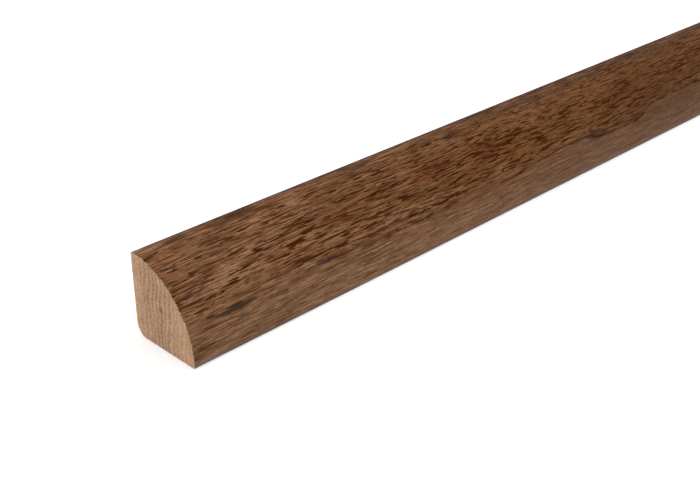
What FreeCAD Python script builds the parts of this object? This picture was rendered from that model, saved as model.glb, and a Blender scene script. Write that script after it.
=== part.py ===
"""Quarter round moulding: one length of solid oak stock with a convex quarter-circle face.

Units are millimetres. +X runs along the length, +Y points back towards the wall and +Z points up.
The origin is the middle of the bottom's bounding rectangle, halfway along the length.

The section, going round from the top: an eased arris, the quarter circle forward and down, a narrow
upright lip that it runs into with no crease, a second eased arris, the floor face back to a rounded
corner that clears the rough joint of wall and floor, and the wall face up. The quarter circle is centred
on the wall face, so it reaches the wall at a right angle, and the top arris takes off that sharp edge.
"""

import FreeCAD
import Part

import math
import os

# Driving dimensions.
LENGTH = 1981.2  # one 78 inch length of stock
FACE_RADIUS = 18.5  # the quarter circle of the show face
FRONT_LIP = 0.55  # height of the upright lip under the quarter circle
BACK_CORNER_RADIUS = 2.9  # relief of the hidden corner, where wall and floor meet
ARRIS_RADIUS = 0.3  # sanded edges where the show face meets the wall face and the floor face

# Sizes that follow from them.
DEPTH = FACE_RADIUS
WALL_Y = DEPTH / 2
FRONT_Y = -DEPTH / 2
# The top arris rolls inside the quarter circle, so its centre lies this far above the circle's centre.
TOP_ARRIS_RISE = math.sqrt((FACE_RADIUS - ARRIS_RADIUS) ** 2 - ARRIS_RADIUS**2)
# Angle, seen from the centre of the quarter circle, that the top arris takes off its end.
TOP_EASED_DEGREES = math.degrees(math.asin(ARRIS_RADIUS / (FACE_RADIUS - ARRIS_RADIUS)))

PARTS_FOLDER = "parts"
NODE = "quarter_round_moulding"


def section_point(y, z):
    """A point of the section, in the plane of the left-hand end."""
    return FreeCAD.Vector(-LENGTH / 2, y, z)


def corner_arc(centre_y, centre_z, radius, start_degrees, end_degrees):
    """An arc of the section, with angles counted from +Y towards +Z."""
    points = []
    for degrees in (start_degrees, (start_degrees + end_degrees) / 2, end_degrees):
        angle = math.radians(degrees)
        y = centre_y + radius * math.cos(angle)
        z = centre_z + radius * math.sin(angle)
        points.append(section_point(y, z))
    return Part.Arc(*points).toShape()


def top_arris():
    """The sanded edge between the wall face and the show face."""
    centre_z = FRONT_LIP + TOP_ARRIS_RISE
    return corner_arc(WALL_Y - ARRIS_RADIUS, centre_z, ARRIS_RADIUS, 0, 90 + TOP_EASED_DEGREES)


def show_face():
    """The quarter circle from the top arris forward and down to the front lip."""
    return corner_arc(WALL_Y, FRONT_LIP, FACE_RADIUS, 90 + TOP_EASED_DEGREES, 180)


def front_arris():
    """The sanded edge between the front lip and the floor face."""
    return corner_arc(FRONT_Y + ARRIS_RADIUS, ARRIS_RADIUS, ARRIS_RADIUS, 180, 270)


def back_corner():
    """The rounded relief between the floor face and the wall face."""
    return corner_arc(
        WALL_Y - BACK_CORNER_RADIUS, BACK_CORNER_RADIUS, BACK_CORNER_RADIUS, 270, 360
    )


def flat_between(arc, following):
    """The straight flat from the end of one arc to the start of the next."""
    start = arc.valueAt(arc.LastParameter)
    end = following.valueAt(following.FirstParameter)
    return Part.LineSegment(start, end).toShape()


def section():
    """The closed outline of the section, with its front lip, floor face and wall face as flats."""
    top = top_arris()
    face = show_face()
    front = front_arris()
    corner = back_corner()
    front_lip = flat_between(face, front)
    floor_face = flat_between(front, corner)
    wall_face = flat_between(corner, top)
    return Part.Wire([top, face, front_lip, front, floor_face, corner, wall_face])


def moulding():
    """The whole stick: the section carried straight along the length, with square-sawn ends."""
    return Part.Face(section()).extrude(FreeCAD.Vector(LENGTH, 0, 0))


def main():
    os.makedirs(PARTS_FOLDER, exist_ok=True)
    solid = moulding()
    solid.exportStep(os.path.join(PARTS_FOLDER, NODE + ".step"))
    box = solid.BoundBox
    print(f"{NODE}: {box.XLength:.1f} x {box.YLength:.2f} x {box.ZLength:.2f} mm")
    print(f"section {solid.Volume / LENGTH:.1f} mm2, valid: {solid.isValid()}, closed: {solid.isClosed()}")


main()
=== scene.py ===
"""Quarter round moulding: a stick of oak with a stained, lacquered quarter-circle face.

The stick is one closed mesh that stands for the CAD node. Its section is the maker's profile, carried along the
length, with sawn ends whose edges are chipped. The wood is one solid recipe in the stick's own millimetres, so the
vessels, rays and rings run through from the stained face to the bare back and the sawn ends.
"""

import logging
import math
import random
from dataclasses import dataclass, field
from enum import IntEnum

import bmesh
import bpy
from mathutils import Matrix, Vector
from mathutils.geometry import delaunay_2d_cdt


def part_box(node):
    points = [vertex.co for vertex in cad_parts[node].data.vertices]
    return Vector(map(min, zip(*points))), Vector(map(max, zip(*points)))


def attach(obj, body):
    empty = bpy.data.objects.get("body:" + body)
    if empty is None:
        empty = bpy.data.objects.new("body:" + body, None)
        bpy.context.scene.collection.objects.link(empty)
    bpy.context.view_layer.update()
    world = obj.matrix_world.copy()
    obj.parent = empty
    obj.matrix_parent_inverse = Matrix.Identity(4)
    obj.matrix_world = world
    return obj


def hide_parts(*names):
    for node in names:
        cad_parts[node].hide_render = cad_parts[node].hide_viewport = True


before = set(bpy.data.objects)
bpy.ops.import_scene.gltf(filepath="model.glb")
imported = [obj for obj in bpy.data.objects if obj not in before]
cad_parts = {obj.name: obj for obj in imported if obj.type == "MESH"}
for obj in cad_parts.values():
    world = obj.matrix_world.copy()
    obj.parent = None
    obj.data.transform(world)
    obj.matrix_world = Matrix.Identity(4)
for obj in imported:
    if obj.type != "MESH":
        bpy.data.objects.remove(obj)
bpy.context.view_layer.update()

MM = 0.001
NODE = "quarter_round_moulding"
BODY = "root"
BAKE_MAP = "OFBake"
PHOTO_WIDTH = 700
SENSOR_WIDTH = 36.0

Value = bpy.types.NodeSocket | float | tuple[float, ...]
Colour = tuple[float, float, float]

log = logging.getLogger("moulding")


class Finish(IntEnum):
    """The finishes of the stick, in the order of its material slots."""

    STAINED = 0
    PLANED = 1
    SAWN = 2


@dataclass(frozen=True)
class OutlinePoint:
    """One point of the section, in millimetres, and the finish of the stretch that starts there.

    Args:
        y: Place from the front to the wall.
        z: Height over the floor.
        normal: Outward direction of the section here.
        finish: Finish from this point to the next.
        chips: How readily the sawn edge breaks here, from 0 to 1.
    """

    y: float
    z: float
    normal: tuple[float, float]
    finish: Finish
    chips: float


@dataclass(frozen=True)
class QuarterRoundSection:
    """The maker's profile, in millimetres, as the CAD source has it."""

    face_radius: float = 18.5
    front_lip: float = 0.55
    back_corner_radius: float = 2.9
    arris_radius: float = 0.3

    @property
    def depth(self) -> float:
        """Front to wall."""
        return self.face_radius

    @property
    def top_rise(self) -> float:
        """How far the top arris's centre lies above the face's, as the arris rolls inside the quarter circle."""
        return math.sqrt((self.face_radius - self.arris_radius) ** 2 - self.arris_radius**2)

    @property
    def height(self) -> float:
        """Floor to top."""
        return self.front_lip + self.top_rise + self.arris_radius

    @property
    def face_centre(self) -> tuple[float, float]:
        """Centre of the show face's quarter circle."""
        return self.depth / 2, self.front_lip

    def _arc(
        self,
        centre: tuple[float, float],
        radius: float,
        turn: tuple[float, float],
        steps: int,
        finish: Finish,
        chips: float,
    ) -> list[OutlinePoint]:
        """A rounded stretch of the outline, without its last point.

        Args:
            centre: Middle of the arc.
            radius: Its radius.
            turn: Angles it starts and ends at, in degrees from +Y towards +Z.
            steps: Number of straight stretches.
            finish: Finish of the arc.
            chips: How readily its sawn edge breaks.

        Returns:
            The points, counter-clockwise.
        """
        points = []
        for step in range(steps):
            angle = math.radians(turn[0] + (turn[1] - turn[0]) * step / steps)
            normal = (math.cos(angle), math.sin(angle))
            points.append(
                OutlinePoint(centre[0] + radius * normal[0], centre[1] + radius * normal[1], normal, finish, chips)
            )
        return points

    def _flat(
        self,
        start: tuple[float, float],
        end: tuple[float, float],
        steps: int,
        normal: tuple[float, float],
        finish: Finish,
        chips: float,
    ) -> list[OutlinePoint]:
        """A straight run of the outline, without its last point.

        Args:
            start: Where it starts.
            end: Where it ends.
            steps: Number of stretches.
            normal: Outward direction of the flat.
            finish: Finish of the flat.
            chips: How readily its sawn edge breaks.

        Returns:
            The points, in order.
        """
        points = []
        for step in range(steps):
            share = step / steps
            y = start[0] + (end[0] - start[0]) * share
            z = start[1] + (end[1] - start[1]) * share
            points.append(OutlinePoint(y, z, normal, finish, chips))
        return points

    def outline(self) -> list[OutlinePoint]:
        """The closed outline, counter-clockwise seen from the right-hand end.

        Returns:
            The points from the top arris forward over the face, back along the floor and up the wall face.
        """
        wall, front, top = self.depth / 2, -self.depth / 2, self.height
        arris, corner = self.arris_radius, self.back_corner_radius
        eased = 90 + math.degrees(math.asin(arris / (self.face_radius - arris)))
        points = self._arc((wall - arris, top - arris), arris, (0, eased), 4, Finish.STAINED, 0.5)
        points += self._arc(self.face_centre, self.face_radius, (eased, 180), 80, Finish.STAINED, 1.0)
        points += self._flat((front, self.front_lip), (front, arris), 1, (-1, 0), Finish.STAINED, 0.6)
        points += self._arc((front + arris, arris), arris, (180, 270), 4, Finish.STAINED, 0.5)
        points += self._flat((front + arris, 0), (wall - corner, 0), 24, (0, -1), Finish.PLANED, 0.5)
        points += self._arc((wall - corner, corner), corner, (270, 360), 10, Finish.PLANED, 0.4)
        points += self._flat((wall, corner), (wall, top - arris), 24, (1, 0), Finish.PLANED, 0.5)
        return points


@dataclass
class SawnEnd:
    """One square-sawn end: where the blade left the wood, and how its edge broke.

    Args:
        x: Place of the end along the length, in millimetres.
        inward: +1 if the wood lies towards +X, -1 if towards -X.
        seed: Start of the random draws for the chips.
    """

    x: float
    inward: int
    seed: int
    bevel: float = 0.03
    chip_share: float = 0.16
    grid: float = 0.42

    def chips(self, outline: list[OutlinePoint]) -> list[float]:
        """How far the edge is broken at each outline point, in millimetres.

        Args:
            outline: The section's points.

        Returns:
            The depth of the broken edge at each point.
        """
        draw = random.Random(self.seed)
        depths = [self.bevel] * len(outline)
        for index, point in enumerate(outline):
            if draw.random() < self.chip_share * point.chips:
                depth = draw.uniform(0.03, 0.16) * point.chips
                for offset, share in ((0, 1.0), (1, draw.uniform(0.4, 1.0)), (2, draw.uniform(0.0, 0.6))):
                    near = (index + offset) % len(outline)
                    depths[near] = max(depths[near], self.bevel + depth * share)
        return depths


@dataclass(frozen=True)
class BakeSheet:
    """Where the parts of the stick lie on the square sheet that its finishes are baked to.

    The length is cut into rows, one over another, with the two ends in a strip above them.

    Args:
        rows: Number of rows.
        strip: Share of the sheet's height that the ends take.
        lead: How wide the broken edge at an end is drawn, in millimetres.
        across: Share of the sheet's width that a row takes.
        up: Share of its height that a row fills.
    """

    rows: int = 3
    strip: float = 0.12
    lead: float = 1.5
    across: float = 0.97
    up: float = 0.97

    def in_row(self, row: int, along: float, share: float) -> tuple[float, float]:
        """A point on the long faces.

        Args:
            row: Its row.
            along: Its place in the whole length, in rows.
            share: Its place round the section, from 0 to 1.

        Returns:
            Its place on the sheet.
        """
        u = 0.5 + (along - row - 0.5) * self.across
        v = (row + 0.5 + (0.5 - share) * self.up) * (1 - self.strip) / self.rows
        return u, v

    def on_end(self, number: int, right: float, z: float, height: float) -> tuple[float, float]:
        """A point on a sawn end.

        Args:
            number: 0 for the left-hand end, 1 for the right-hand end.
            right: How far right of its middle the point is, seen from outside, in millimetres.
            z: Its height.
            height: The section's height.

        Returns:
            Its place on the sheet.
        """
        scale = self.strip * 0.92 / height
        return self.strip * (number + 0.5) + right * scale, 1 - self.strip / 2 + (z - height / 2) * scale


@dataclass
class MouldingStick:
    """The whole stick as one closed mesh.

    Args:
        section: The maker's profile.
        length: Length of the stock, in millimetres.
    """

    section: QuarterRoundSection
    length: float
    station_step: float = 9.0
    fine_stations: tuple[float, ...] = (0.7, 1.6, 3.0, 5.0, 8.0)
    sheet: BakeSheet = BakeSheet()
    ends: list[SawnEnd] = field(default_factory=list)

    def __post_init__(self) -> None:
        """Places the two ends."""
        self.ends = [SawnEnd(-self.length / 2, 1, 11), SawnEnd(self.length / 2, -1, 23)]

    def _stations(self) -> list[float]:
        """Places of the rings between the two broken edges, close near the ends."""
        half = self.length / 2
        near = [-half + x for x in self.fine_stations]
        far = [half - x for x in reversed(self.fine_stations)]
        count = round((far[0] - near[-1]) / self.station_step)
        step = (far[0] - near[-1]) / count
        middle = [near[-1] + step * n for n in range(1, count)]
        return near + middle + far

    def _cap(self, mesh: bmesh.types.BMesh, number: int, rim: list[bmesh.types.BMVert]) -> None:
        """Fills a sawn end inside its rim with an even net of triangles.

        Args:
            mesh: The mesh to add to.
            number: Which end, 0 or 1.
            rim: The vertices round it.
        """
        end = self.ends[number]
        places = [Vector((v.co.y / MM, v.co.z / MM)) for v in rim]
        count = len(places)
        inside = []
        row = 0
        z = end.grid
        while z < self.section.height:
            y = -self.section.depth / 2 + (end.grid / 2 if row % 2 else 0)
            while y < self.section.depth / 2:
                if self._clear_of(Vector((y, z)), places, end.grid * 0.55):
                    inside.append(Vector((y, z)))
                y += end.grid
            z += end.grid * 0.866
            row += 1
        loop = [(n, (n + 1) % count) for n in range(count)]
        points, _, faces, origins, _, _ = delaunay_2d_cdt(places + inside, loop, [], 1, 1e-5)
        verts = []
        for point, origin in zip(points, origins):
            if origin and origin[0] < count:
                verts.append(rim[origin[0]])
            else:
                verts.append(mesh.verts.new((end.x * MM, point.x * MM, point.y * MM)))
        layer = mesh.loops.layers.uv[BAKE_MAP]
        for corners in faces:
            order = corners if end.inward < 0 else tuple(reversed(corners))
            face = mesh.faces.new([verts[n] for n in order])
            face.material_index = Finish.SAWN
            face.smooth = False
            for loop in face.loops:
                place = loop.vert.co / MM
                loop[layer].uv = self.sheet.on_end(number, -end.inward * place.y, place.z, self.section.height)

    @staticmethod
    def _shares(outline: list[OutlinePoint]) -> list[float]:
        """How far round the section each point lies, from 0 to 1, with the first again at the end."""
        lengths = [math.dist((a.y, a.z), (b.y, b.z)) for a, b in zip(outline, outline[1:] + outline[:1])]
        shares = [0.0]
        for length in lengths:
            shares.append(shares[-1] + length / sum(lengths))
        return shares

    @staticmethod
    def _clear_of(point: Vector, rim: list[Vector], gap: float) -> bool:
        """Whether a point lies inside a convex rim by at least the gap."""
        for here, after in zip(rim, rim[1:] + rim[:1]):
            run = after - here
            side = (run.x * (point.y - here.y) - run.y * (point.x - here.x)) / max(run.length, 1e-9)
            if side < gap:
                return False
        return True

    def build(self) -> bpy.types.Object:
        """Makes the mesh.

        Returns:
            The stick, in the row frame, in metres.
        """
        outline = self.section.outline()
        mesh = bmesh.new()
        layer = mesh.loops.layers.uv.new(BAKE_MAP)
        rings = []
        rims = []
        for end in self.ends:
            depths = end.chips(outline)
            rim = []
            edge = []
            for point, depth in zip(outline, depths):
                rim.append(
                    mesh.verts.new(
                        (
                            end.x * MM,
                            (point.y - point.normal[0] * depth) * MM,
                            (point.z - point.normal[1] * depth) * MM,
                        )
                    )
                )
                edge.append(mesh.verts.new(((end.x + end.inward * depth * 1.25) * MM, point.y * MM, point.z * MM)))
            rims.append(rim)
            rings.append(edge)
        stations = self._stations()
        middle = [[mesh.verts.new((x * MM, point.y * MM, point.z * MM)) for point in outline] for x in stations]
        chain = [rims[0], rings[0], *middle, rings[1], rims[1]]
        half, lead = self.length / 2, self.sheet.lead
        drawn = [-half - lead, -half, *stations, half, half + lead]
        along = [(x - drawn[0]) / (drawn[-1] - drawn[0]) * self.sheet.rows for x in drawn]
        shares = self._shares(outline)
        for number, (left, right) in enumerate(zip(chain, chain[1:])):
            broken = number in (0, len(chain) - 2)
            row = int((along[number] + along[number + 1]) / 2)
            for index, point in enumerate(outline):
                after = (index + 1) % len(outline)
                face = mesh.faces.new((left[index], left[after], right[after], right[index]))
                face.material_index = Finish.SAWN if broken else point.finish
                face.smooth = not broken
                corners = ((0, 0), (0, 1), (1, 1), (1, 0))
                for loop, (over, turn) in zip(face.loops, corners):
                    loop[layer].uv = self.sheet.in_row(row, along[number + over], shares[index + turn])
        for number, rim in enumerate(rims):
            self._cap(mesh, number, rim)
        mesh.normal_update()
        data = bpy.data.meshes.new(NODE)
        mesh.to_mesh(data)
        mesh.free()
        stick = bpy.data.objects.new("oak_stick", data)
        bpy.context.scene.collection.objects.link(stick)
        return stick


class Wiring:
    """Lays nodes in one tree and links them as they are made."""

    def __init__(self, tree: bpy.types.NodeTree) -> None:
        """Starts on a tree.

        Args:
            tree: The material's or group's node tree.
        """
        self.tree = tree

    def node(self, kind: str, inputs: dict[str | int, Value] | None = None, **settings: object) -> bpy.types.Node:
        """Adds a node.

        Args:
            kind: Blender's name of the node type.
            inputs: What goes into its sockets, by name or number.
            **settings: The node's own settings.

        Returns:
            The node.
        """
        made = self.tree.nodes.new(kind)
        for name, value in settings.items():
            setattr(made, name, value)
        for key, value in (inputs or {}).items():
            self.feed(made.inputs[key], value)
        count = len(self.tree.nodes)
        made.location = (200 * (count // 8), -180 * (count % 8))
        return made

    def feed(self, socket: bpy.types.NodeSocket, value: Value) -> None:
        """Links a socket to another, or sets its value."""
        if isinstance(value, bpy.types.NodeSocket):
            self.tree.links.new(value, socket)
        elif socket.type == "RGBA" and len(value) == 3:
            socket.default_value = (*value, 1.0)
        else:
            socket.default_value = value

    def math(self, operation: str, *values: Value, clamp: bool = False) -> bpy.types.NodeSocket:
        """One Math node's result."""
        made = self.node("ShaderNodeMath", dict(enumerate(values)), operation=operation, use_clamp=clamp)
        return made.outputs[0]

    def vector(self, operation: str, *values: Value) -> bpy.types.NodeSocket:
        """One Vector Math node's vector."""
        made = self.node("ShaderNodeVectorMath", dict(enumerate(values)), operation=operation)
        return made.outputs[0]

    def split(self, vector: Value) -> tuple[bpy.types.NodeSocket, ...]:
        """The X, Y and Z of a vector."""
        return tuple(self.node("ShaderNodeSeparateXYZ", {0: vector}).outputs)

    def join(self, x: Value, y: Value, z: Value) -> bpy.types.NodeSocket:
        """A vector from its X, Y and Z."""
        return self.node("ShaderNodeCombineXYZ", {0: x, 1: y, 2: z}).outputs[0]

    def stretched(self, position: Value, x: float, y: float, z: float) -> bpy.types.NodeSocket:
        """A position in which the pattern is x, y and z millimetres to the unit."""
        return self.vector("MULTIPLY", position, (1 / x, 1 / y, 1 / z))

    def smooth(
        self, value: Value, low: Value, high: Value, to_low: Value = 0.0, to_high: Value = 1.0
    ) -> bpy.types.NodeSocket:
        """A smooth step of value from to_low at low to to_high at high."""
        made = self.node(
            "ShaderNodeMapRange",
            {"Value": value, "From Min": low, "From Max": high, "To Min": to_low, "To Max": to_high},
            interpolation_type="SMOOTHSTEP",
        )
        return made.outputs[0]

    def noise(
        self, position: Value, detail: float = 2.0, roughness: float = 0.5, distortion: float = 0.0, colour: bool = False
    ) -> bpy.types.NodeSocket:
        """Noise about 0.5, one unit to the lump.

        Args:
            position: Where to read it.
            detail: Number of finer layers.
            roughness: Strength of the finer layers.
            distortion: How far it is pulled about.
            colour: Whether to give three values.

        Returns:
            The value or the colour.
        """
        made = self.node(
            "ShaderNodeTexNoise",
            {"Vector": position, "Scale": 1.0, "Detail": detail, "Roughness": roughness, "Distortion": distortion},
            noise_dimensions="3D",
        )
        return made.outputs["Color" if colour else 0]

    def curve(self, value: Value, points: tuple[tuple[float, float], ...]) -> bpy.types.NodeSocket:
        """A number read off a smooth curve through points, level before the first and after the last.

        Args:
            value: Where to read it.
            points: Its points, as (value, result).

        Returns:
            The result.
        """
        start, end = points[0][0], points[-1][0]
        low, high = min(point[1] for point in points), max(point[1] for point in points)
        share = self.math("DIVIDE", self.math("SUBTRACT", value, start), end - start, clamp=True)
        made = self.node("ShaderNodeFloatCurve", {"Value": share})
        curve = made.mapping.curves[0]
        for _ in points[2:]:
            curve.points.new(0.5, 0.5)
        for knot, (place, result) in zip(curve.points, points):
            knot.location = ((place - start) / (end - start), (result - low) / (high - low))
        made.mapping.update()
        return self.math("ADD", self.math("MULTIPLY", made.outputs[0], high - low), low)

    def blend(self, share: Value, first: Value, second: Value) -> bpy.types.NodeSocket:
        """Two numbers mixed."""
        made = self.node("ShaderNodeMix", data_type="FLOAT", clamp_factor=True)
        for socket, value in zip(made.inputs[0:1] + made.inputs[2:4], (share, first, second)):
            self.feed(socket, value)
        return made.outputs[0]

    def mix(self, share: Value, first: Value, second: Value, mode: str = "MIX") -> bpy.types.NodeSocket:
        """Two colours mixed."""
        made = self.node("ShaderNodeMix", data_type="RGBA", blend_type=mode, clamp_factor=True)
        self.feed(made.inputs[0], share)
        self.feed(made.inputs[6], first)
        self.feed(made.inputs[7], second)
        return made.outputs[2]


class Effect:
    """A shader node group with named inputs and outputs, built once."""

    def __init__(self, name: str, inputs: dict[str, tuple[str, object]], outputs: dict[str, str]) -> None:
        """Makes the empty group.

        Args:
            name: Name of the group.
            inputs: Socket kind and value by name; a vector has None for its value.
            outputs: Socket kind by name.
        """
        self.tree = bpy.data.node_groups.new(name, "ShaderNodeTree")
        for label, (kind, value) in inputs.items():
            socket = self.tree.interface.new_socket(name=label, in_out="INPUT", socket_type=f"NodeSocket{kind}")
            if value is not None:
                socket.default_value = value
        for label, kind in outputs.items():
            self.tree.interface.new_socket(name=label, in_out="OUTPUT", socket_type=f"NodeSocket{kind}")
        self.wiring = Wiring(self.tree)
        self.inputs = self.wiring.node("NodeGroupInput").outputs
        self.end = self.wiring.node("NodeGroupOutput")

    def give(self, **results: Value) -> None:
        """Links results to the outputs; an underscore in a name stands for a space."""
        for name, value in results.items():
            self.wiring.feed(self.end.inputs[name.replace("_", " ")], value)

    def place(self, wiring: Wiring, **values: Value) -> bpy.types.NodeOutputs:
        """Puts the group in a tree.

        Args:
            wiring: The tree's wiring.
            **values: What goes into its sockets; an underscore stands for a space.

        Returns:
            The placed group's outputs.
        """
        made = wiring.node("ShaderNodeGroup", node_tree=self.tree)
        for name, value in values.items():
            wiring.feed(made.inputs[name.replace("_", " ")], value)
        return made.outputs


class MarkKind(IntEnum):
    """What a mark in the face is."""

    DASHES = 0
    MINERAL = 1
    SMUDGE = 2
    RED = 3
    KNOT = 4
    # Partly real wear of the stain on the lip, partly a painted highlight at the near end's top corner and a painted
    # floor reflection on the lip.
    WEAR_AND_HIGHLIGHT = 5
    PALE = 6


@dataclass(frozen=True)
class GrainMark:
    """One mark that the photograph shows in the face, in millimetres.

    Args:
        kind: What it is.
        along: Its middle, from the near end.
        round_face: Its middle, from the top round the quarter circle.
        length: How long it is.
        width: How wide it is.
        strength: How strong it is, from 0 to 1.
        slope: How far it climbs round the face for each millimetre along.
    """

    kind: MarkKind
    along: float
    round_face: float
    length: float
    width: float
    strength: float
    slope: float = 0.0


MARKS = (
    GrainMark(MarkKind.MINERAL, 12.0, 21.3, 10, 1.1, 0.95, -0.01),
    GrainMark(MarkKind.MINERAL, 3.8, 15.2, 5, 0.9, 0.7),
    GrainMark(MarkKind.MINERAL, 37.5, 20.4, 10, 0.7, 0.9, -0.02),
    GrainMark(MarkKind.MINERAL, 50.0, 21.4, 5, 0.7, 0.85, 0.03),
    GrainMark(MarkKind.MINERAL, 132.5, 19.9, 6, 1.0, 0.5, 0.06),
    GrainMark(MarkKind.MINERAL, 99.0, 21.4, 5, 0.9, 0.6),
    GrainMark(MarkKind.MINERAL, 172.0, 19.0, 5, 0.7, 0.5),
    GrainMark(MarkKind.KNOT, 138.5, 20.6, 9, 2.3, 1.0, 0.05),
    # Painted highlight at the top corner of the near end, then wear with a painted floor reflection on the lip.
    GrainMark(MarkKind.WEAR_AND_HIGHLIGHT, 0.6, 0.3, 4, 1.6, 0.6),
    GrainMark(MarkKind.WEAR_AND_HIGHLIGHT, 4.0, 29.1, 12, 1.0, 0.35),
    GrainMark(MarkKind.PALE, 18.0, 10.4, 13, 2.6, 0.9),
    GrainMark(MarkKind.PALE, 18.4, 18.2, 10, 2.0, 0.9),
    GrainMark(MarkKind.PALE, 48.6, 19.2, 9, 1.6, 0.7),
    GrainMark(MarkKind.PALE, 55.8, 8.5, 7, 1.6, 0.6),
    GrainMark(MarkKind.PALE, 39.0, 11.4, 8, 1.6, 0.6),
    GrainMark(MarkKind.PALE, 148.0, 18.0, 9, 1.6, 0.5),
    GrainMark(MarkKind.RED, 45.5, 13.0, 9, 2.4, 0.5),
    GrainMark(MarkKind.RED, 62.0, 11.0, 12, 2.4, 0.55),
    GrainMark(MarkKind.RED, 77.0, 12.0, 14, 4.0, 0.8),
    GrainMark(MarkKind.RED, 99.0, 12.5, 16, 4.0, 0.8),
    GrainMark(MarkKind.DASHES, 2.0, 10.3, 4, 0.7, 0.9),
    GrainMark(MarkKind.DASHES, 5.5, 16.9, 7, 0.6, 0.9),
    GrainMark(MarkKind.DASHES, 4.6, 18.8, 5, 0.5, 0.8),
    GrainMark(MarkKind.DASHES, 23.8, 11.5, 4.5, 0.7, 0.9),
    GrainMark(MarkKind.DASHES, 30.0, 11.3, 3.5, 0.6, 0.6),
    GrainMark(MarkKind.DASHES, 38.0, 18.4, 11, 0.6, 0.8, -0.02),
    GrainMark(MarkKind.DASHES, 29.5, 19.2, 6, 0.5, 0.8, -0.15),
    GrainMark(MarkKind.DASHES, 50.5, 9.6, 9, 0.4, 0.7),
    GrainMark(MarkKind.DASHES, 57.5, 14.2, 5, 1.0, 0.5),
    GrainMark(MarkKind.DASHES, 67.0, 15.6, 5, 1.4, 0.8),
    GrainMark(MarkKind.DASHES, 75.5, 18.0, 4, 0.7, 0.8),
    GrainMark(MarkKind.DASHES, 61.0, 8.4, 12, 0.7, 0.7),
    GrainMark(MarkKind.DASHES, 64.5, 10.3, 6, 0.8, 0.8),
    GrainMark(MarkKind.DASHES, 79.0, 12.0, 8, 1.2, 0.8),
    GrainMark(MarkKind.DASHES, 82.0, 14.0, 6, 1.4, 0.8),
    GrainMark(MarkKind.DASHES, 85.5, 8.6, 8, 0.7, 0.8),
    GrainMark(MarkKind.DASHES, 87.0, 12.8, 7, 2.4, 0.8),
    GrainMark(MarkKind.DASHES, 92.3, 12.2, 4.5, 0.55, 1.0),
    GrainMark(MarkKind.DASHES, 100.5, 10.8, 7, 1.0, 0.4),
    GrainMark(MarkKind.DASHES, 112.0, 12.0, 9, 1.2, 0.6),
    GrainMark(MarkKind.DASHES, 118.5, 13.3, 8, 0.9, 0.7),
    GrainMark(MarkKind.DASHES, 119.4, 17.8, 3, 0.7, 0.8),
    GrainMark(MarkKind.DASHES, 130.5, 14.6, 5, 0.8, 0.9),
    GrainMark(MarkKind.DASHES, 141.0, 11.4, 6, 0.8, 0.8),
    GrainMark(MarkKind.DASHES, 156.0, 13.2, 7, 1.6, 0.7),
    GrainMark(MarkKind.DASHES, 163.5, 14.5, 9, 1.2, 0.8),
    GrainMark(MarkKind.DASHES, 173.0, 11.8, 12, 2.2, 0.7),
    GrainMark(MarkKind.SMUDGE, 9.8, 1.9, 6, 2.4, 1.0),
    GrainMark(MarkKind.SMUDGE, 26.0, 1.9, 10, 2.2, 1.0),
    GrainMark(MarkKind.SMUDGE, 16.0, 6.0, 6, 2.4, 0.5),
    GrainMark(MarkKind.SMUDGE, 57.0, 3.8, 5, 2.2, 0.6),
    GrainMark(MarkKind.SMUDGE, 92.0, 4.4, 6, 2.6, 0.8),
    GrainMark(MarkKind.SMUDGE, 127.0, 4.2, 8, 2.6, 0.7),
    GrainMark(MarkKind.SMUDGE, 135.5, 4.4, 10, 2.6, 0.5),
    GrainMark(MarkKind.SMUDGE, 30.4, 21.1, 9, 1.6, 0.45),
    GrainMark(MarkKind.SMUDGE, 3.9, 22.0, 8, 1.8, 0.35),
    GrainMark(MarkKind.SMUDGE, 109.0, 20.9, 9, 1.6, 0.35),
    GrainMark(MarkKind.SMUDGE, 180.0, 3.9, 14, 3.0, 0.5),
    GrainMark(MarkKind.SMUDGE, 172.0, 20.8, 46, 5.5, 0.5),
)

# Where the open-grained wood of the face meets the fine-grained wood below it: (along, round) in millimetres.
GRAIN_BOUNDARY = (
    (0, 20.3),
    (22, 20.9),
    (45, 20.6),
    (62, 21.3),
    (80, 21.2),
    (97, 21.5),
    (110, 20.4),
    (130, 19.9),
    (143, 21.7),
    (154, 21.8),
    (163, 20.5),
    (167, 19.0),
    (180, 18.8),
    (200, 19.6),
)


@dataclass(frozen=True)
class EndTint:
    """One tinted spot that the photograph shows on the near end, in millimetres.

    Args:
        across: Its middle from the front to the wall, 0 halfway.
        height: Its middle over the floor.
        radius: How far it reaches.
        strength: How strong it is, from 0 to 1.
        colour: Its name among the bare colours.
    """

    across: float
    height: float
    radius: float
    strength: float
    colour: str


END_TINTS = (
    EndTint(7.5, 3.7, 1.0, 0.6, "orange"),
    EndTint(-7.0, 1.8, 2.6, 0.35, "rose"),
    EndTint(-1.6, 14.4, 1.8, 0.35, "rose"),
    EndTint(6.5, 0.6, 1.8, 0.4, "rose"),
    EndTint(0.6, 9.2, 0.8, 0.8, "pore"),
    # Painted highlight: light grey on the top back corner of the near end.
    EndTint(8.9, 18.8, 1.3, 0.8, "ash"),
)


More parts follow.
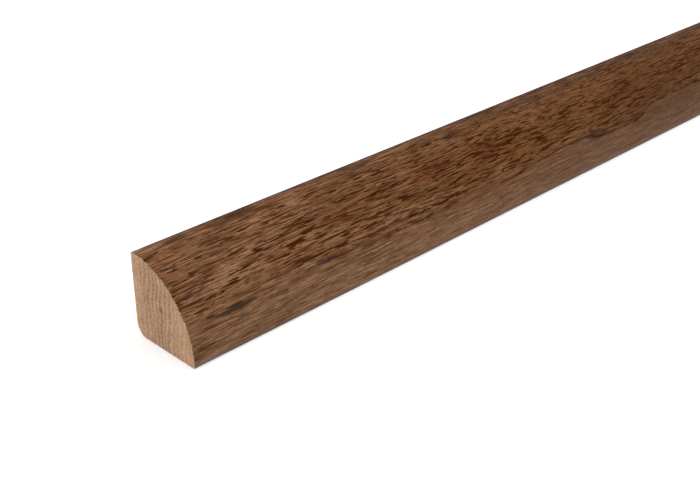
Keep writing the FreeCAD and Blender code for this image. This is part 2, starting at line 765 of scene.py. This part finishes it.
class Oak:
    """The shared effects of the wood: its structure, its zones on the face and the marks that the photo shows."""

    def __init__(self, section: QuarterRoundSection, length: float) -> None:
        """Builds the groups.

        Args:
            section: The maker's profile.
            length: Length of the stick, in millimetres.
        """
        self.section = section
        self.length = length
        self.unrolled = self._unrolled()
        self.zones = self._zones()
        self.structure = self._structure()
        self.mark = self._mark()
        self.spot = self._spot()

    def _unrolled(self) -> Effect:
        """Where a point lies on the face: millimetres from the near end, and round from the top."""
        effect = Effect("face_unrolled", {"Position": ("Vector", None)}, {"Along": "Float", "Round": "Float"})
        w = effect.wiring
        x, y, z = w.split(effect.inputs["Position"])
        centre_y, centre_z = self.section.face_centre
        forward = w.math("SUBTRACT", centre_y, y)
        up = w.math("SUBTRACT", z, centre_z)
        angle = w.math("ARCTAN2", w.math("MAXIMUM", forward, 0.0), w.math("MAXIMUM", up, 0.0))
        turn = w.math("MULTIPLY", angle, self.section.face_radius)
        under_face = w.math("MAXIMUM", w.math("MULTIPLY", up, -1.0), 0.0)
        effect.give(Along=w.math("ADD", x, self.length / 2), Round=w.math("ADD", turn, under_face))
        return effect

    def _zones(self) -> Effect:
        """The zones of the face: fine-grained low down, the seam over it, painted shade on the top arris, painted light
        low down, painted shade on the lip, a painted floor reflection at the foot, and how far along, with painted
        shade towards the far end.
        """
        names = ("Fine", "Grey", "Seam", "Crown", "Heart", "Top", "Low", "Foot", "Lip", "Far", "Dim")
        effect = Effect("face_zones", {"Position": ("Vector", None)}, {name: "Float" for name in names})
        w = effect.wiring
        place = effect.inputs["Position"]
        where = self.unrolled.place(w, Position=place)
        along, turn = where["Along"], where["Round"]
        wander = w.math("SUBTRACT", w.noise(w.stretched(place, 60, 400, 400), 1.0), 0.5)
        wander = w.math("MULTIPLY", wander, w.smooth(along, 180.0, 260.0, 0.0, 9.0))
        line = w.math("ADD", w.curve(along, GRAIN_BOUNDARY), wander)
        fringe = w.math("SUBTRACT", w.noise(w.stretched(place, 9, 1.4, 1.4), 2.0), 0.5)
        off = w.math("SUBTRACT", turn, line)
        ragged = w.math("ADD", off, w.math("MULTIPLY", fringe, 2.4))
        waved = w.math("ABSOLUTE", w.math("ADD", off, w.math("MULTIPLY", fringe, 2.0)))
        here = w.smooth(w.noise(w.stretched(place, 15, 40, 40), 1.0), 0.42, 0.52)
        here = w.math("MAXIMUM", here, w.smooth(along, 94.0, 104.0))
        broken = w.smooth(w.noise(w.stretched(place, 3.5, 1.5, 1.5), 2.0), 0.38, 0.58, 0.4, 1.0)
        beyond = w.smooth(along, 180.0, 280.0)
        patches = w.smooth(w.noise(w.stretched(place, 170, 900, 900), 2.0), 0.35, 0.65)
        dimmed = w.math("MULTIPLY", w.math("SUBTRACT", 1.0, patches), 0.5)
        effect.give(
            Fine=w.smooth(ragged, -1.6, 0.8),
            Grey=w.smooth(ragged, -3.5, 4.5),
            Seam=w.math("MULTIPLY", w.smooth(waved, 0.05, 0.55, 1.0, 0.0), w.math("MULTIPLY", here, broken)),
            Crown=w.smooth(w.math("ADD", turn, w.math("MULTIPLY", fringe, 4.0)), 2.2, 5.0, 1.0, 0.0),
            Heart=w.smooth(w.math("ABSOLUTE", w.math("SUBTRACT", turn, 13.0)), 1.5, 6.0, 1.0, 0.0),
            Top=w.smooth(turn, 0.5, 1.1, 1.0, 0.0),
            Low=w.smooth(turn, 25.5, 27.8),
            Foot=w.smooth(turn, 27.4, 29.0),
            Lip=w.smooth(turn, 28.9, 29.2),
            Far=w.blend(beyond, w.smooth(along, 15.0, 140.0), patches),
            Dim=w.blend(beyond, w.smooth(along, 135.0, 168.0), dimmed),
        )
        return effect

    def _structure(self) -> Effect:
        """The wood itself, through its whole thickness: vessels, fibres and tones."""
        effect = Effect(
            "oak_structure",
            {"Position": ("Vector", None)},
            {
                "Vessel": "Float",
                "Short": "Float",
                "Line": "Float",
                "Gleam": "Float",
                "Fibre": "Float",
                "Streak": "Float",
                "Mottle": "Float",
                "Tone": "Float",
                "Tint": "Float",
                "Crowd": "Float",
            },
        )
        w = effect.wiring
        place = effect.inputs["Position"]
        drift = w.vector("SUBTRACT", w.noise(w.stretched(place, 85, 22, 22), 1.0, colour=True), (0.5, 0.5, 0.5))
        ripple = w.vector("SUBTRACT", w.noise(w.stretched(place, 7, 2.2, 2.2), 1.0, colour=True), (0.5, 0.5, 0.5))
        bent = w.vector("ADD", place, w.vector("MULTIPLY", drift, (0.0, 3.0, 3.0)))
        bent = w.vector("ADD", bent, w.vector("MULTIPLY", ripple, (0.0, 0.4, 0.4)))

        def grain(x: float, y: float, z: float, detail: float, roughness: float, start: float) -> Value:
            """Noise drawn out to x, y and z millimetres, from a start of its own."""
            spot = w.vector("ADD", w.stretched(bent, x, y, z), (start, start, start))
            return w.noise(spot, detail, roughness)

        effect.give(
            Vessel=grain(6.5, 0.4, 0.46, 1.0, 0.45, 0.0),
            Short=grain(3.2, 0.32, 0.38, 1.0, 0.45, 17.0),
            Line=grain(9.0, 0.27, 0.27, 1.0, 0.5, 29.0),
            Gleam=grain(8.0, 0.34, 0.4, 1.0, 0.5, 41.0),
            Fibre=grain(14.0, 0.3, 0.3, 2.0, 0.6, 53.0),
            Streak=grain(6.0, 0.45, 0.45, 3.0, 0.6, 67.0),
            Mottle=grain(0.9, 0.35, 0.35, 1.0, 0.5, 71.0),
            Tone=grain(26.0, 3.4, 3.4, 2.0, 0.5, 79.0),
            Tint=grain(14.0, 2.4, 2.4, 2.0, 0.5, 97.0),
            Crowd=grain(13.0, 2.0, 2.0, 1.0, 0.5, 113.0),
        )
        return effect

    def _mark(self) -> Effect:
        """One dark mark on the face, ragged at its rim."""
        effect = Effect(
            "grain_mark",
            {
                "Along": ("Float", 0.0),
                "Round": ("Float", 0.0),
                "Ragged": ("Float", 0.5),
                "Half Length": ("Float", 5.0),
                "Half Width": ("Float", 0.5),
                "Strength": ("Float", 1.0),
                "Slope": ("Float", 0.0),
                "Middle Along": ("Float", 0.0),
                "Middle Round": ("Float", 0.0),
            },
            {"Mark": "Float"},
        )
        w = effect.wiring
        put = effect.inputs
        off_along = w.math("SUBTRACT", put["Along"], put["Middle Along"])
        off_round = w.math("SUBTRACT", put["Round"], put["Middle Round"])
        off_round = w.math("SUBTRACT", off_round, w.math("MULTIPLY", off_along, put["Slope"]))
        off_round = w.math("ADD", off_round, w.math("MULTIPLY", w.math("SUBTRACT", put["Ragged"], 0.5), 1.4))
        run = w.math("POWER", w.math("DIVIDE", off_along, put["Half Length"]), 2.0)
        rise = w.math("POWER", w.math("DIVIDE", off_round, put["Half Width"]), 2.0)
        effect.give(Mark=w.math("MULTIPLY", w.smooth(w.math("ADD", run, rise), 0.1, 1.9, 1.0, 0.0), put["Strength"]))
        return effect

    def _spot(self) -> Effect:
        """One round spot on the near end, ragged at its rim."""
        numbers = ("End", "Across", "Height", "Radius", "Strength")
        inputs = {"Position": ("Vector", None), **{name: ("Float", 1.0) for name in numbers}}
        effect = Effect("end_spot", inputs, {"Spot": "Float"})
        w = effect.wiring
        put = effect.inputs
        middle = w.join(put["End"], put["Across"], put["Height"])
        away = w.node("ShaderNodeVectorMath", {0: put["Position"], 1: middle}, operation="DISTANCE").outputs["Value"]
        rough = w.math("SUBTRACT", w.noise(w.stretched(put["Position"], 3, 0.9, 1.2), 2.0, 0.6), 0.5)
        away = w.math("ADD", w.math("DIVIDE", away, put["Radius"]), w.math("MULTIPLY", rough, 1.6))
        effect.give(Spot=w.math("MULTIPLY", w.smooth(away, 0.3, 1.1, 1.0, 0.0), put["Strength"]))
        return effect

    def marks(self, wiring: Wiring, position: Value) -> tuple[bpy.types.NodeSocket, ...]:
        """The marks of the face, the darkest of a kind winning.

        Args:
            wiring: Wiring of the material.
            position: Place in millimetres.

        Returns:
            One mask for each MarkKind, in its order.
        """
        where = self.unrolled.place(wiring, Position=position)
        ragged = wiring.noise(wiring.stretched(position, 2.6, 0.5, 0.5), 2.0, 0.6)
        totals: list[Value] = [0.0 for _ in MarkKind]
        for mark in MARKS:
            one = self.mark.place(
                wiring,
                Along=where["Along"],
                Round=where["Round"],
                Ragged=ragged,
                Half_Length=mark.length / 2,
                Half_Width=mark.width / 2,
                Strength=mark.strength,
                Slope=mark.slope,
                Middle_Along=mark.along,
                Middle_Round=mark.round_face,
            )
            totals[mark.kind] = wiring.math("MAXIMUM", totals[mark.kind], one["Mark"])
        return tuple(totals)


class OakFinish:
    """What the finishes share: an empty material, the place in millimetres and the shader."""

    name = "oak"

    def __init__(self, oak: Oak) -> None:
        """Starts the material.

        Args:
            oak: The shared effects.
        """
        self.oak = oak
        self.near = -oak.length / 2
        self.material = bpy.data.materials.new(self.name)
        self.material.use_nodes = True
        self.material.node_tree.nodes.clear()
        self.wiring = Wiring(self.material.node_tree)
        place = self.wiring.node("ShaderNodeTexCoord").outputs["Object"]
        self.place = self.wiring.vector("MULTIPLY", place, (1000.0, 1000.0, 1000.0))

    def close(self, shader: bpy.types.Node) -> bpy.types.Material:
        """Links the shader to the material's output.

        Args:
            shader: The Principled BSDF.

        Returns:
            The material.
        """
        out = self.wiring.node("ShaderNodeOutputMaterial")
        self.wiring.feed(out.inputs["Surface"], shader.outputs[0])
        return self.material


@dataclass(frozen=True)
class StainColours:
    """Linear colours of the stained face."""

    deep: Colour = (0.052, 0.0135, 0.0012)
    deep_far: Colour = (0.043, 0.0095, 0.0004)
    red: Colour = (0.165, 0.0520, 0.0190)
    brown: Colour = (0.190, 0.0830, 0.0352)
    tan: Colour = (0.278, 0.1380, 0.0690)
    light: Colour = (0.360, 0.1950, 0.1060)
    golden: Colour = (0.172, 0.0695, 0.0212)
    russet: Colour = (0.235, 0.0960, 0.0400)
    grey: Colour = (0.270, 0.1450, 0.0770)
    grey_far: Colour = (0.180, 0.0960, 0.0560)
    # Painted shade: dark brown of the face towards the far end, where less light falls; also its random darker patches.
    falloff_and_patches: Colour = (0.095, 0.0350, 0.0095)
    dusk: Colour = (0.098, 0.0410, 0.0170)
    mineral: Colour = (0.048, 0.0250, 0.0190)
    knot: Colour = (0.100, 0.0610, 0.0440)
    # Light grey: partly wear of the stain, partly painted highlight and painted reflection.
    wear_and_highlight: Colour = (0.300, 0.2550, 0.2300)
    olive: Colour = (0.080, 0.0400, 0.0170)
    # Painted shade: dark grey of the shadow line along the top arris.
    top: Colour = (0.052, 0.0400, 0.0400)
    # Painted reflection: pale grey of the white floor reflected in the foot and lip.
    floor_reflection: Colour = (0.230, 0.1750, 0.1450)


class StainedFinish(OakFinish):
    """Brown stain under a thin satin lacquer, with the grain still open."""

    name = "stained_oak_face"
    colours = StainColours()

    def make(self) -> bpy.types.Material:
        """Builds the nodes.

        Returns:
            The material.
        """
        w = self.wiring
        c = self.colours
        oak = self.oak.structure.place(w, Position=self.place)
        zones = self.oak.zones.place(w, Position=self.place)
        far = zones["Far"]

        def zoned(middle: float, crown: float, low: float, low_far: float) -> Value:
            """A strength for the middle of the face, its top and its lower part, there by distance."""
            lower = w.blend(far, low, low_far)
            return w.blend(zones["Crown"], w.blend(zones["Fine"], middle, lower), crown)

        soon = w.math("SQRT", far)
        colour = w.mix(w.smooth(oak["Tone"], 0.38, 0.62), c.brown, c.tan)
        golden = w.blend(zones["Heart"], w.math("MULTIPLY", far, 0.75), w.math("MULTIPLY", soon, 0.9))
        golden = w.math("ADD", w.smooth(oak["Tint"], 0.48, 0.36, 0.0, 0.6), golden, clamp=True)
        colour = w.mix(w.math("MULTIPLY", golden, zoned(1.0, 0.6, 0.1, 0.0)), colour, c.golden)
        colour = w.mix(w.smooth(oak["Tint"], 0.57, 0.68, 0.0, 0.7), colour, c.russet)
        remote = w.math("POWER", far, 3.0)
        colour = w.mix(w.math("MULTIPLY", zones["Grey"], 0.8), colour, w.mix(remote, c.grey, c.grey_far))
        # Painted shade: the face darker towards the far end, where less light falls, then random darker patches beyond
        # 180 mm.
        colour = w.mix(w.math("MULTIPLY", zones["Dim"], zoned(0.5, 0.3, 0.15, 0.15)), colour, c.falloff_and_patches)
        colour = w.mix(w.math("MULTIPLY", zones["Crown"], w.blend(remote, 0.05, 0.95)), colour, c.dusk)
        olive = w.math("MULTIPLY", zones["Crown"], w.smooth(oak["Tint"], 0.48, 0.38, 0.0, 0.7))

        swing = zoned(w.blend(soon, 0.22, 0.12), 0.24, 0.22, 0.14)
        less, more = w.math("SUBTRACT", 1.0, swing), w.math("ADD", 1.0, swing)
        shade = w.math(
            "MULTIPLY", w.smooth(oak["Fibre"], 0.38, 0.62, less, more), w.smooth(oak["Streak"], 0.4, 0.6, less, more)
        )
        shade = w.math("MULTIPLY", shade, w.smooth(oak["Mottle"], 0.35, 0.65, 0.86, 1.14))
        shade = w.math("MULTIPLY", shade, w.blend(soon, 1.02, w.blend(zones["Heart"], 1.08, 1.0)))
        # Painted light: the lower face made lighter where it turns down, away from the lamps; painted shade: the front
        # lip made darker.
        shade = w.math("MULTIPLY", shade, w.blend(w.math("MULTIPLY", zones["Low"], soon), 1.0, 1.13))
        lip_shade = w.math("MULTIPLY", zones["Lip"], w.math("MULTIPLY", soon, w.math("SUBTRACT", 1.0, remote)))
        shade = w.math("MULTIPLY", shade, w.blend(lip_shade, 1.0, 0.6))
        colour = w.mix(1.0, colour, w.join(shade, shade, shade), "MULTIPLY")
        gleam = w.math("MULTIPLY", w.smooth(oak["Gleam"], 0.54, 0.63), zoned(w.blend(soon, 0.58, 0.12), 0.5, 0.4, 0.12))
        colour = w.mix(gleam, colour, c.light)

        dashes, mineral, smudge, red, knot, wear_and_highlight, pale = self.oak.marks(w, self.place)
        colour = w.mix(w.math("MULTIPLY", pale, 0.5), colour, c.light)
        colour = w.mix(w.math("MULTIPLY", red, 0.8), colour, c.red)
        colour = w.mix(w.math("MAXIMUM", olive, w.math("MULTIPLY", smudge, 0.85)), colour, c.olive)
        colour = w.mix(w.math("MULTIPLY", mineral, 0.9), colour, c.mineral)
        colour = w.mix(w.smooth(knot, 0.1, 0.75, 0.0, 0.75), colour, c.mineral)
        colour = w.mix(w.smooth(knot, 0.8, 1.0, 0.0, 0.35), colour, c.knot)
        crowded = w.math("MULTIPLY", w.math("MAXIMUM", w.math("MAXIMUM", dashes, red), mineral), 0.055)
        crowded = w.math("SUBTRACT", crowded, w.math("MULTIPLY", pale, 0.035))
        bunched = w.math("MULTIPLY", w.math("SUBTRACT", oak["Crowd"], 0.5), w.blend(soon, 0.08, 0.13))
        crowded = w.math("ADD", crowded, w.math("ADD", bunched, w.math("MULTIPLY", soon, w.blend(far, 0.02, 0.005))))
        ragged = w.math("MULTIPLY", w.math("SUBTRACT", oak["Mottle"], 0.5), w.blend(far, 0.12, 0.07))
        crowded = w.math("ADD", crowded, ragged)
        vessel = w.smooth(w.math("ADD", oak["Vessel"], crowded), 0.58, 0.615)
        short = w.smooth(w.math("ADD", oak["Short"], crowded), 0.594, 0.628)
        line = w.smooth(oak["Line"], 0.56, 0.62)
        depth = w.smooth(oak["Crowd"], 0.4, 0.6, w.blend(soon, 0.75, 0.88), 1.0)
        middle = w.blend(remote, 1.0, 0.9)
        dark = w.math("MULTIPLY", vessel, w.math("MAXIMUM", zoned(middle, 0.7, 0.25, 0.06), mineral))
        dark = w.math("MAXIMUM", dark, w.math("MULTIPLY", short, zoned(middle, 0.5, 0.35, 0.1)))
        dark = w.math("MULTIPLY", dark, depth)
        dark = w.math("MAXIMUM", dark, w.math("MULTIPLY", line, zoned(w.blend(far, 0.5, 0.35), 0.45, 0.65, 0.4)))
        dark = w.math("MAXIMUM", dark, w.math("MULTIPLY", zones["Seam"], 0.92))
        deep = w.mix(far, c.deep, c.deep_far)
        colour = w.mix(dark, colour, w.mix(mineral, deep, c.mineral))
        # Painted shade: a dark shadow line along the top arris.
        colour = w.mix(w.math("MULTIPLY", zones["Top"], 0.65), colour, c.top)
        # Painted reflection of the white floor on the foot and lip, stronger towards the far end.
        colour = w.mix(w.math("MULTIPLY", zones["Foot"], w.blend(remote, 0.3, 0.65)), colour, c.floor_reflection)
        # Partly wear of the stain, partly a painted highlight and a painted floor reflection.
        colour = w.mix(wear_and_highlight, colour, c.wear_and_highlight)

        bump = w.node("ShaderNodeBump", {"Strength": 0.5, "Distance": 0.00012, "Height": w.math("SUBTRACT", 1.0, dark)})
        shader = w.node(
            "ShaderNodeBsdfPrincipled",
            {
                "Base Color": colour,
                "Roughness": w.blend(dark, 0.5, 0.75),
                "Normal": bump.outputs[0],
                "Specular IOR Level": 0.03,
            },
        )
        return self.close(shader)


@dataclass(frozen=True)
class BareColours:
    """Linear colours of the bare oak."""

    tan: Colour = (0.430, 0.262, 0.150)
    pale: Colour = (0.520, 0.335, 0.205)
    pore: Colour = (0.190, 0.095, 0.042)
    pink: Colour = (0.490, 0.262, 0.160)
    rose: Colour = (0.540, 0.270, 0.170)
    orange: Colour = (0.460, 0.225, 0.075)
    # Painted highlight: light grey for the top back corner of the near end.
    ash: Colour = (0.420, 0.370, 0.320)


class BareFinish(OakFinish):
    """Bare oak, planed on the wall and floor faces and sawn on the ends."""

    colours = BareColours()
    ring_width = 1.3

    def __init__(self, oak: Oak, sawn: bool) -> None:
        """Starts the material.

        Args:
            oak: The shared effects.
            sawn: Whether this is the sawn end.
        """
        self.sawn = sawn
        self.name = "sawn_oak_end" if sawn else "planed_oak_back"
        super().__init__(oak)

    def _end_grain(self) -> tuple[bpy.types.NodeSocket, bpy.types.NodeSocket]:
        """Beaded growth rings, nearly upright, clearest in the middle of the end.

        Returns:
            The shade, about 1, and the mask of the open pores.
        """
        w = self.wiring
        _, y, z = w.split(self.place)
        lean = w.vector("ADD", self.place, w.join(0.0, w.math("MULTIPLY", z, 0.06), 0.0))
        wobble = w.noise(w.stretched(lean, 30, 3.5, 6.0), 1.0)
        phase = w.math("ADD", w.split(lean)[1], w.math("MULTIPLY", w.math("SUBTRACT", wobble, 0.5), 2.4))
        ring = w.math("SINE", w.math("MULTIPLY", phase, math.tau / self.ring_width))
        bead = w.noise(w.stretched(lean, 9, 0.42, 0.6), 1.0)
        core = w.smooth(w.math("ABSOLUTE", w.math("SUBTRACT", y, 1.5)), 2.0, 7.0, 1.0, 0.0)
        less = w.blend(core, 0.96, 0.82)
        shade = w.math("MULTIPLY", w.smooth(ring, -0.9, 0.9, less, 1.06), w.smooth(bead, 0.36, 0.64, 0.84, 1.12))
        shade = w.math("MULTIPLY", w.blend(core, 1.02, 0.92), shade)
        dots = w.smooth(w.noise(w.stretched(lean, 8, 0.36, 0.42), 1.0), 0.54, 0.64)
        return shade, w.math("MULTIPLY", dots, w.smooth(ring, 0.5, -0.7, 0.04, w.blend(core, 0.3, 0.8)))

    def _long_grain(self, oak: bpy.types.NodeOutputs) -> tuple[bpy.types.NodeSocket, bpy.types.NodeSocket]:
        """Fibres and open vessels along the planed faces.

        Args:
            oak: What the oak's structure puts out.

        Returns:
            The shade, about 1, and the mask of the open vessels.
        """
        w = self.wiring
        shade = w.math("MULTIPLY", w.smooth(oak["Streak"], 0.4, 0.6, 0.88, 1.1), w.smooth(oak["Mottle"], 0.35, 0.65, 0.94, 1.06))
        crowd = w.math("MULTIPLY", w.math("SUBTRACT", oak["Crowd"], 0.5), 0.12)
        vessel = w.smooth(w.math("ADD", oak["Vessel"], crowd), 0.58, 0.63, 0.0, 0.6)
        return shade, w.math("MAXIMUM", vessel, w.smooth(oak["Line"], 0.56, 0.62, 0.0, 0.4))

    def make(self) -> bpy.types.Material:
        """Builds the nodes.

        Returns:
            The material.
        """
        w = self.wiring
        c = self.colours
        oak = self.oak.structure.place(w, Position=self.place)
        colour = w.mix(w.smooth(oak["Tone"], 0.3, 0.7), c.tan, c.pale)
        colour = w.mix(w.math("MULTIPLY", w.smooth(oak["Tint"], 0.5, 0.7), 0.6), colour, c.pink)
        shade, dark = self._end_grain() if self.sawn else self._long_grain(oak)
        shade = w.math("MULTIPLY", shade, w.smooth(oak["Fibre"], 0.38, 0.62, 0.9, 1.08))
        colour = w.mix(1.0, colour, w.join(shade, shade, shade), "MULTIPLY")
        if self.sawn:
            for tint in END_TINTS:
                mask = self.oak.spot.place(
                    w,
                    Position=self.place,
                    End=self.near,
                    Across=tint.across,
                    Height=tint.height,
                    Radius=tint.radius,
                    Strength=tint.strength,
                )["Spot"]
                colour = w.mix(mask, colour, getattr(c, tint.colour))
        colour = w.mix(dark, colour, c.pore)
        bump = w.node(
            "ShaderNodeBump", {"Strength": 0.4, "Distance": 0.0001, "Height": w.math("SUBTRACT", 1.0, dark)}
        )
        shader = w.node(
            "ShaderNodeBsdfPrincipled",
            {
                "Base Color": colour,
                "Roughness": w.math("ADD", 0.78, w.math("MULTIPLY", dark, 0.1)),
                "Normal": bump.outputs[0],
                "Specular IOR Level": 0.25,
            },
        )
        return self.close(shader)


@dataclass(frozen=True)
class PhotoCamera:
    """The photograph's camera, fitted to the edges of the near end; millimetres and degrees.

    Args:
        azimuth: Turn about the vertical, 0 looking along +Y.
        elevation: Angle above the horizon.
        roll: Turn about the line of sight.
        across: How far the near end's bottom centre lies right of the line of sight.
        above: How far it lies above it.
        distance: How far it lies in front of the lens.
        focal: Focal length in pixels of a 700 pixel wide picture.
    """

    azimuth: float = -45.0936
    elevation: float = 28.174
    roll: float = 0.1051
    across: float = -36.8079
    above: float = -20.1051
    distance: float = 227.3935
    focal: float = 1136.7415

    def make(self, near_end: Vector) -> bpy.types.Object:
        """Makes the camera.

        Args:
            near_end: Bottom centre of the near end, in metres.

        Returns:
            The camera.
        """
        turn, rise, roll = (math.radians(value) for value in (self.azimuth, self.elevation, self.roll))
        back = Vector((math.sin(turn) * math.cos(rise), -math.cos(turn) * math.cos(rise), math.sin(rise)))
        level = Vector((math.cos(turn), math.sin(turn), 0.0))
        upright = back.cross(level)
        right = level * math.cos(roll) + upright * math.sin(roll)
        up = upright * math.cos(roll) - level * math.sin(roll)
        place = near_end + (back * self.distance - right * self.across - up * self.above) * MM
        lens = bpy.data.cameras.new("photo_camera")
        lens.sensor_width = SENSOR_WIDTH
        lens.lens = self.focal * SENSOR_WIDTH / PHOTO_WIDTH
        lens.clip_start = 0.01
        lens.clip_end = 50.0
        camera = bpy.data.objects.new("photo_camera", lens)
        turned = Matrix((right, up, back)).transposed().to_4x4()
        camera.matrix_world = Matrix.Translation(place) @ turned
        bpy.context.scene.collection.objects.link(camera)
        bpy.context.scene.camera = camera
        return camera


@dataclass(frozen=True)
class Softbox:
    """One rectangular lamp.

    Args:
        name: Its name.
        place: Where it hangs, in metres.
        aim: What it looks at, in metres.
        size: Its two sides, in metres.
        power: Watts.
    """

    name: str
    place: tuple[float, float, float]
    aim: tuple[float, float, float]
    size: tuple[float, float]
    power: float

    def make(self) -> bpy.types.Object:
        """Hangs the lamp."""
        light = bpy.data.lights.new(self.name, "AREA")
        light.shape = "RECTANGLE"
        light.size, light.size_y = self.size
        light.energy = self.power
        lamp = bpy.data.objects.new(self.name, light)
        lamp.location = self.place
        lamp.rotation_euler = (Vector(self.aim) - Vector(self.place)).to_track_quat("-Z", "Y").to_euler()
        lamp.visible_camera = False
        bpy.context.scene.collection.objects.link(lamp)
        return lamp


class Studio:
    """White floor, white surroundings and soft lamps."""

    def __init__(self) -> None:
        """Names the lamps."""
        self.lamps = (
            Softbox("top_softbox", (-0.4, -0.2, 2.2), (-0.2, 0.0, 0.0), (3.4, 1.8), 30.0),
            Softbox("left_softbox", (-3.2, -0.9, 1.3), (-0.6, 0.0, 0.0), (2.2, 1.8), 41.0),
        )

    @staticmethod
    def _seen(wiring: Wiring) -> bpy.types.NodeSocket:
        """1 for the camera and for reflections, 0 for light."""
        path = wiring.node("ShaderNodeLightPath").outputs
        seen = wiring.math("ADD", path["Is Camera Ray"], path["Is Glossy Ray"])
        return wiring.math("ADD", seen, path["Is Transmission Ray"], clamp=True)

    def _world(self) -> None:
        """Plain white surroundings, whiter to the eye than as light."""
        world = bpy.data.worlds.new("white_room")
        world.use_nodes = True
        world.node_tree.nodes.clear()
        w = Wiring(world.node_tree)
        direction = w.node("ShaderNodeTexCoord").outputs["Generated"]
        behind = w.node("ShaderNodeVectorMath", {0: direction, 1: (0.55, 0.83, 0.0)}, operation="DOT_PRODUCT").outputs[1]
        room = w.smooth(behind, -0.1, 0.75, 0.22, 0.6)
        strength = w.math("MAXIMUM", room, self._seen(w))
        sky = w.node("ShaderNodeBackground", {"Color": (1.0, 1.0, 1.0), "Strength": strength})
        out = w.node("ShaderNodeOutputWorld")
        w.feed(out.inputs[0], sky.outputs[0])
        bpy.context.scene.world = world

    def _floor(self) -> bpy.types.Object:
        """A wide pale floor that keeps a soft shadow."""
        mesh = bmesh.new()
        bmesh.ops.create_grid(mesh, x_segments=8, y_segments=8, size=9.0)
        data = bpy.data.meshes.new("floor")
        mesh.to_mesh(data)
        mesh.free()
        floor = bpy.data.objects.new("floor", data)
        floor.location.z = -0.0001
        material = bpy.data.materials.new("white_floor")
        material.use_nodes = True
        material.node_tree.nodes.clear()
        w = Wiring(material.node_tree)
        place = w.vector("MULTIPLY", w.node("ShaderNodeTexCoord").outputs["Object"], (0.5, 1.0, 0.0))
        away = w.node("ShaderNodeVectorMath", {0: place}, operation="LENGTH").outputs["Value"]
        bright = w.math("MULTIPLY", self._seen(w), w.smooth(away, 0.6, 1.4, 0.4, 1.0))
        paint = w.node("ShaderNodeBsdfDiffuse", {"Color": (0.8, 0.8, 0.8)})
        glow = w.node("ShaderNodeEmission", {"Color": (1.0, 1.0, 1.0), "Strength": bright})
        both = w.node("ShaderNodeAddShader", {0: paint.outputs[0], 1: glow.outputs[0]})
        out = w.node("ShaderNodeOutputMaterial")
        w.feed(out.inputs[0], both.outputs[0])
        data.materials.append(material)
        bpy.context.scene.collection.objects.link(floor)
        return floor

    def make(self) -> None:
        """Builds the room."""
        self._world()
        self._floor()
        for lamp in self.lamps:
            lamp.make()
        bpy.context.scene.view_settings.view_transform = "Standard"


def main() -> None:
    """Builds the camera, the stick, its finishes and the room."""
    logging.basicConfig(level=logging.INFO, format="%(message)s")
    low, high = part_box(NODE)
    section = QuarterRoundSection()
    length = (high[0] - low[0]) / MM
    PhotoCamera().make(Vector((low[0], 0.0, 0.0)))
    stick = MouldingStick(section, length).build()
    oak = Oak(section, length)
    for material in (StainedFinish(oak).make(), BareFinish(oak, False).make(), BareFinish(oak, True).make()):
        stick.data.materials.append(material)
    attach(stick, BODY)
    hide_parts(NODE)
    log.info("%s: %d vertices, %d faces", stick.name, len(stick.data.vertices), len(stick.data.polygons))
    Studio().make()


if __name__ == "__main__":
    main()
